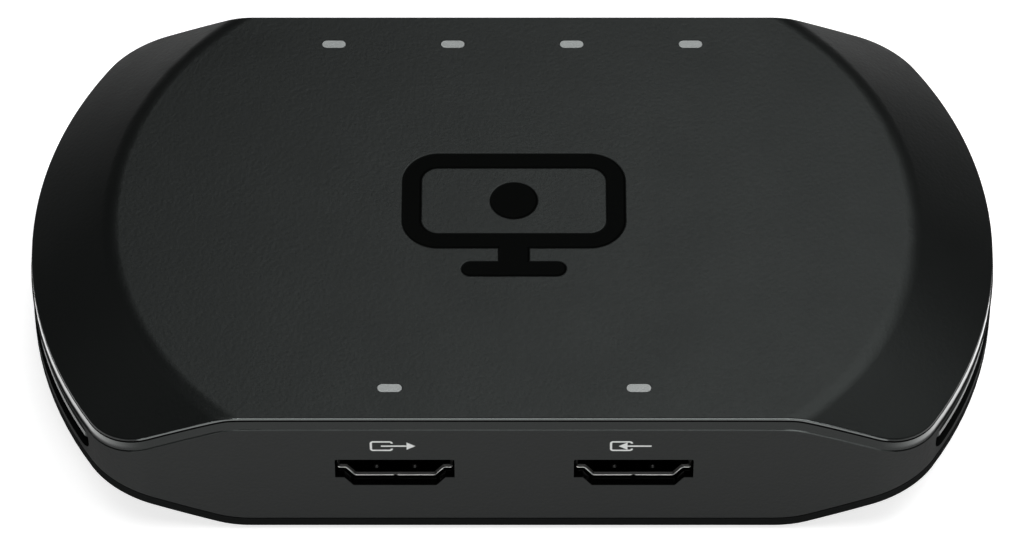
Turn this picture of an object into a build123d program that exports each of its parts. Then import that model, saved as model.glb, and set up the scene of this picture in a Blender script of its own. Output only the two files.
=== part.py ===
from build123d import *
import os
from math import asin, degrees, sqrt

# A flat video capture box: three shells, two side louvres, six light pipes, and the circuit
# board with its sockets. Millimetres, +X right, +Y to the rear, +Z up. The origin is on the
# surface that the feet stand on, under the middle of the box. The two video sockets face -Y.

os.makedirs("parts", exist_ok=True)

# Overall form: straight front and rear, and sides that bulge as arcs about two upright axes
side_span = 18.0
side_radius = 55.9
body_depth = 70.2
body_height = 23.0
corner_radius = 9.6

# The flat field of top and bottom, and the cones that fall away from it to the sides
bevel_run = 10.95
top_drop = 6.15
bottom_drop = 7.0
bevel_blend = 5.0

# Shell walls, and the joints between the shells
cover_wall = 1.5
base_wall = 1.5
frame_wall = 2.2
cover_proud = 0.64
cover_gap = 0.22
cover_edge_round = 0.3
plug_gap = 0.1
rim_band = 1.68
rim_ledge = 0.12
rim_inset = 0.2
seam_gap = 0.15
tongue_gap = 0.15
tongue_wall = 1.2
tongue_height = 1.5
tongue_end_margin = 22.9

# Side vents
vent_base = 2.65
vent_height = 4.6
vent_end_margin = 4.8
vent_corner = 2.0
louvre_gap = 0.1
louvre_wall = 1.0
louvre_lap = 0.7
louvre_end_gap = 0.2
rib_level = 1.65
rib_height = 1.45
rib_setback = 0.25
rib_bevel = 0.3
rib_end_gap = 1.3
slat_count = 15
slat_width = 2.6
slat_height = 0.9

# Feet
foot_proud = 0.8
foot_seat = 0.6
foot_radius = 4.5
foot_gap = 0.1
foot_bevel = 0.3
foot_side_margin = 27.9
foot_end_margin = 10.1

# Case screws, which come up through the base into the cover beside the circuit board
case_post_margin = 5.0
case_post_spacing = 24.0
case_screw_radius = 1.2
case_screw_length = 9.5
case_head_radius = 2.2
case_head_height = 1.4
case_head_sink = 4.2
case_thread_gap = 0.05
case_hole_gap = 0.15
case_head_gap = 0.2
base_post_radius = 3.3
base_post_height = 7.0
cover_post_radius = 2.8
post_gap = 0.2

# Circuit board and its screws
board_side_gap = 9.4
board_end_gap = 1.1
board_thickness = 1.6
board_corner = 2.0
board_level = 8.3
board_hole_margin = 4.0
board_screw_radius = 0.9
board_screw_length = 4.6
board_head_radius = 1.7
board_head_height = 1.1
board_thread_gap = 0.05
board_hole_gap = 0.15
board_post_radius = 2.4

# Video sockets: a wide mouth whose lower corners step in to a narrower foot. They and the
# front light pipes stand a little to the right of the middle
front_shift = 0.26
hdmi_pitch = 31.44
hdmi_width = 15.25
hdmi_neck_width = 13.1
hdmi_foot_width = 10.7
hdmi_height = 5.05
hdmi_ear_level = 1.7
hdmi_corner = 0.3
hdmi_length = 11.6
hdmi_setback = 1.5
hdmi_sheet = 0.35
hdmi_flare = 0.25
hdmi_gap = 0.25
hdmi_fit = 0.05
hdmi_block_length = 3.2
hdmi_tongue_width = 11.3
hdmi_tongue_thickness = 1.2
hdmi_tongue_level = 2.45
hdmi_tongue_setback = 1.3
hdmi_contact_pitch = 1.0
hdmi_contact_width = 0.45
hdmi_contact_thickness = 0.12
hdmi_contact_length = 5.0
hdmi_contact_setback = 0.6
hdmi_upper_count = 10
hdmi_lower_count = 9
hdmi_dimple_pitch = 5.05
hdmi_dimple_radius = 0.6
hdmi_dimple_top = 0.35
hdmi_dimple_height = 0.3
hdmi_dimple_setback = 1.5

# Rear sockets, one under each rear light pipe
rear_pitch = 16.3
usb_width = 8.94
usb_height = 3.2
usb_sheet = 0.3
usb_length = 8.8
usb_setback = 0.6
usb_gap = 0.25
usb_fit = 0.05
usb_block_length = 1.8
usb_tongue_width = 6.7
usb_tongue_thickness = 0.7
usb_tongue_setback = 0.8
jack_bore_radius = 1.8
jack_bore_length = 12.6
jack_nose_radius = 2.6
jack_nose_setback = 0.6
jack_width = 6.4
jack_height = 5.2
jack_length = 12.4
jack_gap = 0.2
jack_wall_gap = 0.3
leaf_count = 3
leaf_pitch = 3.4
leaf_width = 1.4
leaf_length = 3.6
leaf_thickness = 0.3
leaf_fit = 0.05

# Light pipes and the lamps under them
pipe_width = 3.2
pipe_thickness = 1.3
pipe_gap = 0.08
pipe_rim = 0.5
pipe_rim_height = 0.8
pipe_rim_gap = 0.1
pipe_setback = 5.25
pipe_front_pitch = 32.6
pipe_upper_level = 17.9
pipe_lower_level = 16.4
lamp_gap = 0.25
lamp_width = 1.6
lamp_depth = 0.8
lamp_height = 0.6
front_lamp_clearance = 2.8
rear_lamp_clearance = 2.6

# Chips and other pieces on the board
processor_side = 17.0
processor_height = 1.4
pad_side = 15.0
pad_height = 0.8
sink_side = 21.0
sink_base = 1.5
sink_fin_height = 5.0
sink_fin_thickness = 0.8
sink_fin_count = 8
memory_width = 8.0
memory_depth = 13.0
memory_height = 1.1
memory_gap = 8.0
bridge_side = 9.0
bridge_height = 0.9
bridge_gap = 0.7
driver_side = 5.0
driver_height = 0.8
driver_gap = 2.8
crystal_width = 3.2
crystal_depth = 2.5
crystal_height = 0.8
crystal_side_gap = 1.0
crystal_rear_gap = 5.5
coil_side = 6.0
coil_height = 3.0
coil_corner = 1.2
coil_margin = 10.0
coil_gap = 4.35
capacitor_radius = 3.15
capacitor_height = 5.8
capacitor_bevel = 0.4
capacitor_side_margin = 9.0
capacitor_end_margin = 12.3

# How far a cutting form runs past what it cuts, and how deep a fused form starts in its carrier
overrun = 2.0
bite = 0.3

# Levels and places that follow from the sizes above
body_bottom = foot_proud
body_top = body_bottom + body_height
body_width = side_span + 2 * side_radius
front = body_depth / 2
side_centre = side_span / 2
flat_radius = side_radius - bevel_run
top_slope = top_drop / bevel_run
bottom_slope = bottom_drop / bevel_run
cover_under = body_top - cover_wall
base_inside = body_bottom + base_wall
base_post_top = base_inside + base_post_height
cover_post_foot = base_post_top + post_gap
vent_length = body_depth - 2 * vent_end_margin
vent_floor = body_bottom + bottom_drop + vent_base
vent_middle = vent_floor + vent_height / 2
rib_floor = vent_floor + rib_level
near_rear = rear_pitch / 2
far_rear = 3 * rear_pitch / 2
pipe_row = front - pipe_setback
front_lamp_row = front - hdmi_setback - hdmi_length - front_lamp_clearance
rear_lamp_row = front - frame_wall - jack_wall_gap - jack_length - rear_lamp_clearance

# The board's corners keep clear of the frame's curved sides
board_depth = body_depth - 2 * (frame_wall + board_end_gap)
frame_half_width = side_centre + sqrt((side_radius - frame_wall) ** 2 - (board_depth / 2) ** 2)
board_width = 2 * (frame_half_width - board_side_gap)
board_top = board_level + board_thickness

# A face counts as upright, or as roof or floor, by the upward share of its normal
upright_share = 0.05
level_share = 0.3


def section(lowered, raised):
    """Half a cross-section of the body, its roof lowered and its floor raised.

    Roof and floor are level out to flat_radius, bend softly, and slope on until they meet.
    """
    roof = body_top - lowered
    floor = body_bottom + raised
    slope_run = (roof - floor) / (top_slope + bottom_slope)
    tip = (flat_radius + slope_run, roof - top_slope * slope_run)
    with BuildSketch() as half:
        with BuildLine():
            Polyline((0, floor), (flat_radius, floor), tip, (flat_radius, roof), (0, roof), close=True)
        make_face()
        fillet(half.vertices().group_by(Axis.X)[1], bevel_blend)
    return half.sketch


def lens(lowered, raised):
    """The space between roof and floor: the section turned about two upright axes.

    The same section, mirrored, is drawn straight along between the axes.
    """
    half = section(lowered, raised)
    with BuildPart() as space:
        with BuildSketch(Plane.YZ.offset(-side_centre)):
            add(half)
            mirror(about=Plane.YZ)
        extrude(amount=2 * side_centre)
        for side in (1, -1):
            with BuildSketch(Plane((side * side_centre, 0, 0), (0, -side, 0), (-side, 0, 0))):
                add(half)
            revolve(axis=Axis((side * side_centre, 0, 0), (0, 0, 1)), revolution_arc=180)
    return space.part


def barrel(inset):
    """The plan drawn in by inset: straight front and rear, round corners, bulging sides."""
    with BuildSketch() as plan:
        SlotCenterToCenter(2 * side_centre, 2 * (side_radius - inset))
        Rectangle(body_width + overrun, body_depth - 2 * inset, mode=Mode.INTERSECT)
        fillet(plan.vertices(), corner_radius - inset)
    return plan.sketch


def prism(inset):
    """The plan, drawn in by inset, carried past the whole height of the body."""
    with BuildPart() as column:
        with BuildSketch(Plane.XY.offset(body_bottom - overrun)):
            add(barrel(inset))
        extrude(amount=body_height + 2 * overrun)
    return column.part


def block(inset, lowered, raised):
    """The whole body as one form, drawn in from its walls, its top and its bottom."""
    with BuildPart() as form:
        add(prism(inset))
        add(lens(lowered, raised), mode=Mode.INTERSECT)
    return form.part


def rise(face):
    """The upward share of a face's normal at its middle."""
    return face.normal_at(face.center()).Z


def walls(form):
    """The upright faces of a form."""
    return form.faces().filter_by(lambda face: abs(rise(face)) < upright_share)


def roof(form):
    """The faces of a form that look up."""
    return form.faces().filter_by(lambda face: rise(face) > level_share)


def rim_edges(form):
    """The edges along which the roof of a form meets its walls."""
    above = roof(form).edges()
    return walls(form).edges().filter_by(lambda edge: any(edge.is_same(other) for other in above))


def stepped(stations, raised):
    """The body's form under a rim that draws in by steps.

    Each station is an inset with the depth of its edge below the roof. Ruled bands join the
    edges of one station to the next, and the whole skin is sewn into one solid.
    """
    forms = [block(inset, lowered, raised) for inset, lowered in stations]
    floor = forms[0].faces().filter_by(lambda face: rise(face) < -level_share)
    skin = [*walls(forms[0]), *floor, *roof(forms[-1])]
    for below, above in zip(forms, forms[1:]):
        upper = rim_edges(above)
        for edge in rim_edges(below):
            mate = upper.sort_by_distance(edge.center())[0]
            skin.append(Face.make_surface_from_curves(edge, mate))
    return Solid(Shell(skin))


def side_bar(outer_inset, inner_inset, level, height, half_length, side):
    """A bar that follows one bulging side of the body, between two insets of the plan."""
    with BuildPart() as bar:
        with BuildSketch(Plane.XY.offset(level)):
            add(barrel(outer_inset))
            add(barrel(inner_inset), mode=Mode.SUBTRACT)
            with Locations((side * body_width / 2, 0)):
                Rectangle(body_width / 2, 2 * half_length, mode=Mode.INTERSECT)
        extrude(amount=height)
    return bar.part


def hdmi_outline(grow):
    """The mouth of a video socket with its foot on the sketch's origin, grown by grow."""
    half_width = hdmi_width / 2
    with BuildSketch() as mouth:
        with BuildLine():
            Polyline(
                (0, 0),
                (hdmi_foot_width / 2, 0),
                (hdmi_neck_width / 2, hdmi_ear_level),
                (half_width, hdmi_ear_level),
                (half_width, hdmi_height),
                (0, hdmi_height),
            )
            mirror(about=Plane.YZ)
        make_face()
        if grow:
            offset(amount=grow, kind=Kind.INTERSECTION, mode=Mode.REPLACE)
        fillet(mouth.vertices().group_by(Axis.Y)[-1], hdmi_corner)
    return mouth.sketch


def front_plane(x, inwards):
    """An upright plane that faces forwards, its origin on the board inwards of the front."""
    return Plane((x, inwards - front, board_top), (1, 0, 0), (0, -1, 0))


def rear_plane(x, inwards):
    """An upright plane that faces backwards, its origin on the board inwards of the rear."""
    return Plane((x, front - inwards, board_top), (-1, 0, 0), (0, 1, 0))


def save(name, piece):
    """Label one finished sub-part and write it to its own file."""
    piece.label = name
    export_step(piece, f"parts/{name}.step")


hdmi_places = {"hdmi_out": front_shift - hdmi_pitch / 2, "hdmi_in": front_shift + hdmi_pitch / 2}
usb_places = {"usb_data": -near_rear, "usb_power": near_rear}
jack_places = {"audio_in": -far_rear, "audio_out": far_rear}
sides = {"left": -1, "right": 1}
pipe_places = {
    "front_left": (front_shift - pipe_front_pitch / 2, -pipe_row, -front_lamp_row),
    "front_right": (front_shift + pipe_front_pitch / 2, -pipe_row, -front_lamp_row),
    "rear_far_left": (-far_rear, pipe_row, rear_lamp_row),
    "rear_left": (-near_rear, pipe_row, rear_lamp_row),
    "rear_right": (near_rear, pipe_row, rear_lamp_row),
    "rear_far_right": (far_rear, pipe_row, rear_lamp_row),
}
case_screw_places = GridLocations(board_width + 2 * case_post_margin, case_post_spacing, 2, 2)
board_screw_places = GridLocations(
    board_width - 2 * board_hole_margin, board_depth - 2 * board_hole_margin, 2, 2
)
foot_places = GridLocations(body_width - 2 * foot_side_margin, body_depth - 2 * foot_end_margin, 2, 2)


# Top cover: a plate that follows the roof and laps over the frame, with a thicker field that
# drops inside the frame, holes for the light pipes, and posts that take the case screws
with BuildPart() as top_cover:
    add(block(rim_inset, 0, 0))
    add(lens(cover_proud - cover_gap, -overrun), mode=Mode.SUBTRACT)
    fillet(rim_edges(top_cover.part), cover_edge_round)
    with BuildPart(mode=Mode.PRIVATE) as plug:
        add(block(frame_wall + plug_gap, bite, 0))
        add(lens(cover_wall, -overrun), mode=Mode.SUBTRACT)
    add(plug.part)
    for x, y, lamp_y in pipe_places.values():
        with BuildSketch(Plane((x, y, body_top))):
            SlotOverall(pipe_width + 2 * pipe_gap, pipe_thickness + 2 * pipe_gap)
        extrude(amount=-cover_wall - overrun, mode=Mode.SUBTRACT)
    with BuildSketch(Plane.XY.offset(cover_post_foot)):
        with Locations(*case_screw_places):
            Circle(cover_post_radius)
            Circle(case_screw_radius + case_thread_gap, mode=Mode.SUBTRACT)
    extrude(amount=cover_under + bite - cover_post_foot)
save("top_cover", top_cover.part)


# Middle frame: the wall ring with its stepped rim, cut for the sockets and the side vents
with BuildPart() as mid_frame:
    add(
        stepped(
            [
                (0, cover_proud + rim_band),
                (rim_ledge, cover_proud + rim_band - rim_ledge),
                (rim_inset, cover_proud),
            ],
            base_wall + seam_gap,
        )
    )
    add(prism(frame_wall), mode=Mode.SUBTRACT)
    for x in hdmi_places.values():
        with BuildSketch(front_plane(x, -overrun)):
            add(hdmi_outline(hdmi_gap))
        extrude(amount=-frame_wall - 2 * overrun, mode=Mode.SUBTRACT)
    for x in usb_places.values():
        with BuildSketch(rear_plane(x, -overrun)):
            with Locations((0, usb_height / 2)):
                SlotOverall(usb_width + 2 * usb_gap, usb_height + 2 * usb_gap)
        extrude(amount=-frame_wall - 2 * overrun, mode=Mode.SUBTRACT)
    for x in jack_places.values():
        with BuildSketch(rear_plane(x, -overrun)):
            with Locations((0, jack_height / 2)):
                Circle(jack_nose_radius + jack_gap)
        extrude(amount=-frame_wall - 2 * overrun, mode=Mode.SUBTRACT)
    for side in sides.values():
        with BuildSketch(Plane((side * side_centre, 0, vent_middle), (0, side, 0), (side, 0, 0))):
            RectangleRounded(vent_length, vent_height, vent_corner)
        extrude(amount=side_radius + overrun, mode=Mode.SUBTRACT)
save("mid_frame", mid_frame.part)


# Base cover: a tray that follows the floor, with locating tongues along the front and rear,
# posts for the board, deeper posts for the case screws, and shallow seats for the feet
with BuildPart() as base_cover:
    add(block(0, 0, 0))
    add(lens(-overrun, base_wall), mode=Mode.SUBTRACT)
    with BuildPart(mode=Mode.PRIVATE) as tongues:
        add(block(frame_wall + tongue_gap, 0, bite))
        add(prism(frame_wall + tongue_gap + tongue_wall), mode=Mode.SUBTRACT)
        add(lens(-overrun, base_wall + tongue_height), mode=Mode.SUBTRACT)
        with BuildSketch():
            Rectangle(body_width - 2 * tongue_end_margin, body_depth)
        extrude(amount=body_top, mode=Mode.INTERSECT)
    add(tongues.part)
    with BuildSketch(Plane.XY.offset(base_inside - bite)):
        with Locations(*board_screw_places):
            Circle(board_post_radius)
    extrude(amount=board_level - base_inside + bite)
    with BuildSketch(Plane.XY.offset(base_inside)):
        with Locations(*board_screw_places):
            Circle(board_screw_radius + board_thread_gap)
    extrude(amount=board_level - base_inside + overrun, mode=Mode.SUBTRACT)
    with BuildSketch(Plane.XY.offset(base_inside - bite)):
        with Locations(*case_screw_places):
            Circle(base_post_radius)
    extrude(amount=base_post_top - base_inside + bite)
    with BuildSketch(Plane.XY.offset(body_bottom - overrun)):
        with Locations(*case_screw_places):
            Circle(case_screw_radius + case_hole_gap)
    extrude(amount=base_post_top - body_bottom + 2 * overrun, mode=Mode.SUBTRACT)
    with BuildSketch(Plane.XY.offset(body_bottom - overrun)):
        with Locations(*case_screw_places):
            Circle(case_head_radius + case_head_gap)
    extrude(amount=case_head_sink + overrun, mode=Mode.SUBTRACT)
    with BuildSketch(Plane.XY.offset(body_bottom - overrun)):
        with Locations(*foot_places):
            Circle(foot_radius + foot_gap)
    extrude(amount=foot_seat + overrun, mode=Mode.SUBTRACT)
save("base_cover", base_cover.part)


# Side louvres: a curved back wall behind each vent, pierced by two rows of slots, with one
# long rib that stands out into the vent between the rows
louvre_inset = frame_wall + louvre_gap
louvre_back = louvre_inset + louvre_wall
louvre_reach = front - louvre_back - louvre_end_gap
rib_reach = vent_length / 2 - rib_end_gap
slat_radius = side_radius - louvre_inset - louvre_wall / 2
slat_spread = 2 * degrees(asin((rib_reach - slat_width) / slat_radius))
slat_levels = (
    (vent_floor + rib_floor) / 2,
    (rib_floor + rib_height + vent_floor + vent_height) / 2,
)
for name, side in sides.items():
    with BuildPart() as louvre:
        add(
            side_bar(
                louvre_inset,
                louvre_back,
                vent_floor - louvre_lap,
                vent_height + 2 * louvre_lap,
                louvre_reach,
                side,
            )
        )
        for level in slat_levels:
            with Locations((side * side_centre, 0, level)):
                with PolarLocations(
                    slat_radius,
                    slat_count,
                    start_angle=90 - 90 * side - slat_spread / 2,
                    angular_range=slat_spread,
                    endpoint=True,
                ):
                    Box(louvre_wall + overrun, slat_width, slat_height, mode=Mode.SUBTRACT)
        with BuildPart(mode=Mode.PRIVATE) as rib:
            add(side_bar(rib_setback, louvre_inset + bite, rib_floor, rib_height, rib_reach, side))
            chamfer(rib.edges().filter_by(GeomType.CIRCLE).sort_by(SortBy.RADIUS)[-2:], rib_bevel)
        add(rib.part)
    save(f"{name}_side_louvre", louvre.part)


# Rubber feet, each a disc glued into its seat under the base
foot_names = ("front_left", "rear_left", "front_right", "rear_right")
for name, place in zip(foot_names, foot_places):
    with BuildPart() as foot:
        with BuildSketch():
            with Locations(place):
                Circle(foot_radius)
        extrude(amount=foot_proud + foot_seat)
        chamfer(foot.edges().sort_by(Axis.Z)[0], foot_bevel)
    save(f"{name}_foot", foot.part)


# Case screws: a sunk head and a shank that runs up into the cover's posts
with BuildPart() as case_screws:
    with BuildSketch(Plane.XY.offset(body_bottom + case_head_sink - case_head_height)):
        with Locations(*case_screw_places):
            Circle(case_head_radius)
    extrude(amount=case_head_height)
    with BuildSketch(Plane.XY.offset(body_bottom + case_head_sink)):
        with Locations(*case_screw_places):
            Circle(case_screw_radius)
    extrude(amount=case_screw_length)
save("case_screws", case_screws.part)


# Circuit board on the base's posts, with its four screws
with BuildPart() as main_board:
    with BuildSketch(Plane.XY.offset(board_level)):
        RectangleRounded(board_width, board_depth, board_corner)
        with Locations(*board_screw_places):
            Circle(board_screw_radius + board_hole_gap, mode=Mode.SUBTRACT)
    extrude(amount=board_thickness)
save("main_board", main_board.part)

with BuildPart() as board_screws:
    with BuildSketch(Plane.XY.offset(board_top)):
        with Locations(*board_screw_places):
            Circle(board_head_radius)
    extrude(amount=board_head_height)
    with BuildSketch(Plane.XY.offset(board_top)):
        with Locations(*board_screw_places):
            Circle(board_screw_radius)
    extrude(amount=-board_screw_length)
save("board_screws", board_screws.part)


# Video sockets: a sheet shell with a flared lip and two dimples on its floor, the insulator
# whose tongue reaches forward inside it, and contacts on both faces of the tongue
hdmi_tongue_front = hdmi_setback + hdmi_tongue_setback
hdmi_block_front = hdmi_setback + hdmi_length - hdmi_block_length
for name, x in hdmi_places.items():
    with BuildPart() as shell:
        with BuildSketch(front_plane(x, hdmi_setback)):
            add(hdmi_outline(0))
            add(hdmi_outline(-hdmi_sheet), mode=Mode.SUBTRACT)
        extrude(amount=-hdmi_length)
        lip = shell.faces().sort_by(Axis.Y)[0]
        chamfer(lip.inner_wires()[0].edges(), hdmi_flare)
        with Locations((x, hdmi_setback + hdmi_dimple_setback - front, board_top + hdmi_sheet)):
            with GridLocations(hdmi_dimple_pitch, 0, 2, 1):
                Cone(
                    hdmi_dimple_radius,
                    hdmi_dimple_top,
                    hdmi_dimple_height,
                    align=(Align.CENTER, Align.CENTER, Align.MIN),
                )
    save(f"{name}_shell", shell.part)

    with BuildPart() as insulator:
        with BuildSketch(front_plane(x, hdmi_block_front)):
            add(hdmi_outline(-hdmi_sheet - hdmi_fit))
        extrude(amount=-hdmi_block_length)
        with BuildSketch(front_plane(x, hdmi_tongue_front)):
            with Locations((0, hdmi_tongue_level)):
                Rectangle(hdmi_tongue_width, hdmi_tongue_thickness)
        extrude(amount=hdmi_tongue_front - hdmi_block_front - bite)
    save(f"{name}_insulator", insulator.part)

    contact_rise = (hdmi_tongue_thickness + hdmi_contact_thickness) / 2
    with BuildPart() as contacts:
        with BuildSketch(front_plane(x, hdmi_tongue_front + hdmi_contact_setback)):
            with Locations((0, hdmi_tongue_level + contact_rise)):
                with GridLocations(hdmi_contact_pitch, 0, hdmi_upper_count, 1):
                    Rectangle(hdmi_contact_width, hdmi_contact_thickness)
            with Locations((0, hdmi_tongue_level - contact_rise)):
                with GridLocations(hdmi_contact_pitch, 0, hdmi_lower_count, 1):
                    Rectangle(hdmi_contact_width, hdmi_contact_thickness)
        extrude(amount=-hdmi_contact_length)
    save(f"{name}_contacts", contacts.part)


# Data and power sockets: an oval sheet shell, and the insulator with its thin tongue
usb_block_front = usb_setback + usb_length - usb_block_length
for name, x in usb_places.items():
    with BuildPart() as shell:
        with BuildSketch(rear_plane(x, usb_setback)):
            with Locations((0, usb_height / 2)):
                SlotOverall(usb_width, usb_height)
                SlotOverall(usb_width - 2 * usb_sheet, usb_height - 2 * usb_sheet, mode=Mode.SUBTRACT)
        extrude(amount=-usb_length)
    save(f"{name}_shell", shell.part)

    inner_margin = 2 * (usb_sheet + usb_fit)
    with BuildPart() as insulator:
        with BuildSketch(rear_plane(x, usb_block_front)):
            with Locations((0, usb_height / 2)):
                SlotOverall(usb_width - inner_margin, usb_height - inner_margin)
        extrude(amount=-usb_block_length)
        with BuildSketch(rear_plane(x, usb_setback + usb_tongue_setback)):
            with Locations((0, usb_height / 2)):
                Rectangle(usb_tongue_width, usb_tongue_thickness)
        extrude(amount=usb_setback + usb_tongue_setback - usb_block_front - bite)
    save(f"{name}_insulator", insulator.part)


# Audio jacks: a moulded body with a round nose through the rear wall, bored for a 3.5 mm
# plug, and spring leaves sunk into the top of the body
jack_body_back = frame_wall + jack_wall_gap
jack_top = board_top + jack_height
for name, x in jack_places.items():
    leaf_middle = front - jack_body_back - jack_length / 2
    with BuildPart() as jack:
        with BuildSketch(rear_plane(x, jack_body_back)):
            with Locations((0, jack_height / 2)):
                Rectangle(jack_width, jack_height)
        extrude(amount=-jack_length)
        with BuildSketch(rear_plane(x, jack_nose_setback)):
            with Locations((0, jack_height / 2)):
                Circle(jack_nose_radius)
        extrude(amount=jack_nose_setback - jack_body_back - bite)
        with BuildSketch(rear_plane(x, jack_nose_setback)):
            with Locations((0, jack_height / 2)):
                Circle(jack_bore_radius)
        extrude(amount=-jack_bore_length, mode=Mode.SUBTRACT)
        with BuildSketch(Plane.XY.offset(jack_top)):
            with Locations((x, leaf_middle)):
                with GridLocations(0, leaf_pitch, 1, leaf_count):
                    Rectangle(leaf_length + 2 * leaf_fit, leaf_width + 2 * leaf_fit)
        extrude(amount=-leaf_thickness, mode=Mode.SUBTRACT)
    save(f"{name}_jack", jack.part)

    with BuildPart() as leaves:
        with BuildSketch(Plane.XY.offset(jack_top - leaf_thickness)):
            with Locations((x, leaf_middle)):
                with GridLocations(0, leaf_pitch, 1, leaf_count):
                    Rectangle(leaf_length, leaf_width)
        extrude(amount=leaf_thickness)
    save(f"{name}_leaves", leaves.part)


# Light pipes: oval rods that drop through the cover, turn away over the sockets at flat
# mitres that reflect the light, and come down over the lamps, with a rim under the cover
lamp_top = board_top + lamp_height
for name, (x, y, lamp_y) in pipe_places.items():
    with BuildPart() as pipe:
        with BuildLine():
            Polyline(
                (x, y, body_top),
                (x, y, pipe_upper_level),
                (x, lamp_y, pipe_lower_level),
                (x, lamp_y, lamp_top + lamp_gap),
            )
        with BuildSketch(Plane((x, y, body_top), (1, 0, 0), (0, 0, -1))):
            SlotOverall(pipe_width, pipe_thickness)
        sweep(transition=Transition.RIGHT)
        with BuildSketch(Plane((x, y, cover_under - pipe_rim_gap))):
            SlotOverall(pipe_width + 2 * pipe_rim, pipe_thickness + 2 * pipe_rim)
        extrude(amount=-pipe_rim_height)
    save(f"{name}_light_pipe", pipe.part)

    with BuildPart() as lamp:
        with BuildSketch(Plane((x, lamp_y, board_top))):
            Rectangle(lamp_width, lamp_depth)
        extrude(amount=lamp_height)
    save(f"{name}_lamp", lamp.part)


# Video processor with its thermal pad and finned heat sink, in the middle of the board
with BuildPart() as video_processor:
    with BuildSketch(Plane.XY.offset(board_top)):
        Rectangle(processor_side, processor_side)
    extrude(amount=processor_height)
save("video_processor", video_processor.part)

pad_level = board_top + processor_height
with BuildPart() as thermal_pad:
    with BuildSketch(Plane.XY.offset(pad_level)):
        Rectangle(pad_side, pad_side)
    extrude(amount=pad_height)
save("thermal_pad", thermal_pad.part)

fin_pitch = (sink_side - sink_fin_thickness) / (sink_fin_count - 1)
with BuildPart() as heat_sink:
    with BuildSketch(Plane.XY.offset(pad_level + pad_height)):
        Rectangle(sink_side, sink_side)
    extrude(amount=sink_base)
    with BuildSketch(Plane.XY.offset(pad_level + pad_height + sink_base)):
        with GridLocations(fin_pitch, 0, sink_fin_count, 1):
            Rectangle(sink_fin_thickness, sink_side)
    extrude(amount=sink_fin_height)
save("heat_sink", heat_sink.part)


def chip(name, x, y, width, depth, height):
    """One flat package on the board."""
    with BuildPart() as package:
        with BuildSketch(Plane((x, y, board_top))):
            Rectangle(width, depth)
        extrude(amount=height)
    save(name, package.part)


bridge_y = front - usb_setback - usb_length - bridge_gap - bridge_side / 2
chip("usb_bridge_chip", 0, bridge_y, bridge_side, bridge_side, bridge_height)

crystal_x = processor_side / 2 + crystal_side_gap
crystal_y = processor_side / 2 + crystal_rear_gap
chip("clock_crystal", crystal_x, crystal_y, crystal_width, crystal_depth, crystal_height)

memory_x = (processor_side + memory_width) / 2 + memory_gap
driver_y = front_lamp_row - lamp_depth / 2 - driver_gap - driver_side / 2
coil_x = board_width / 2 - coil_margin
capacitor_y = board_depth / 2 - capacitor_end_margin
coil_y = capacitor_y - capacitor_radius - coil_gap - coil_side / 2
for name, side in sides.items():
    driver_x = front_shift + side * hdmi_pitch / 2
    chip(f"{name}_memory_chip", side * memory_x, 0, memory_width, memory_depth, memory_height)
    chip(f"{name}_video_driver_chip", driver_x, -driver_y, driver_side, driver_side, driver_height)
    with BuildPart() as coil:
        with BuildSketch(Plane((side * coil_x, coil_y, board_top))):
            RectangleRounded(coil_side, coil_side, coil_corner)
        extrude(amount=coil_height)
    save(f"{name}_power_coil", coil.part)

with BuildPart() as capacitors:
    with BuildSketch(Plane.XY.offset(board_top)):
        with GridLocations(board_width - 2 * capacitor_side_margin, 2 * capacitor_y, 2, 2):
            Circle(capacitor_radius)
    extrude(amount=capacitor_height)
    chamfer(capacitors.edges().group_by(Axis.Z)[-1], capacitor_bevel)
save("capacitors", capacitors.part)
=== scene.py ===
from math import cos, pi, radians, sin

import bmesh
import bpy
import numpy as np
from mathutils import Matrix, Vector


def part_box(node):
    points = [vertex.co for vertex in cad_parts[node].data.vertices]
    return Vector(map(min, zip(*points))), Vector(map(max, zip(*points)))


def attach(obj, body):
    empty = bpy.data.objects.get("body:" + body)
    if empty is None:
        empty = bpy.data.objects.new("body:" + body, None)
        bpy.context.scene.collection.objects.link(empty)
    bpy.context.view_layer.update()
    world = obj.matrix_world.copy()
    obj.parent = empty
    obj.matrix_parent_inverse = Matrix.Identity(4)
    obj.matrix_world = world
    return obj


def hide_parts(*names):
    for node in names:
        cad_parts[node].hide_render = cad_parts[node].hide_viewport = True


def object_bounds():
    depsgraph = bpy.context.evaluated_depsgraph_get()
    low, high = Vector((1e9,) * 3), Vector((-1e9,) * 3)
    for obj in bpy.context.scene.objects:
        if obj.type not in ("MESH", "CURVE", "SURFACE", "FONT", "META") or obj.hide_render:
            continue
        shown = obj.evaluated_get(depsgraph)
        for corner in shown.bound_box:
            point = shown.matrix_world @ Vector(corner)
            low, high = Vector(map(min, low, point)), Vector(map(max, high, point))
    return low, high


# The look of a flat video capture box: satin plastic shells with a sunk screen emblem and printed
# port marks, plated sockets, frosted light pipes, side louvres, screws and ribbed rubber feet.
# Metres, +X right, +Y to the rear, +Z up, with the desk at z = 0.

bl_info = {
    "name": "Video capture box look",
    "version": (1, 0, 0),
    "blender": (4, 5, 0),
    "location": "View3D > Sidebar > Capture box",
    "description": "Dresses the packed video capture box and sets its studio",
    "category": "Object",
}

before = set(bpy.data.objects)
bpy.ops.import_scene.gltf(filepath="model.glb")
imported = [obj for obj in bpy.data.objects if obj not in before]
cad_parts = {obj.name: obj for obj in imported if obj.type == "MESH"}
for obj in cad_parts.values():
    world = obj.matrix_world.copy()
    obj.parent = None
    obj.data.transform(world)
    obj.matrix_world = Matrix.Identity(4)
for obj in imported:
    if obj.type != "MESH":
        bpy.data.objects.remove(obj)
cad_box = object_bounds()

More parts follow.
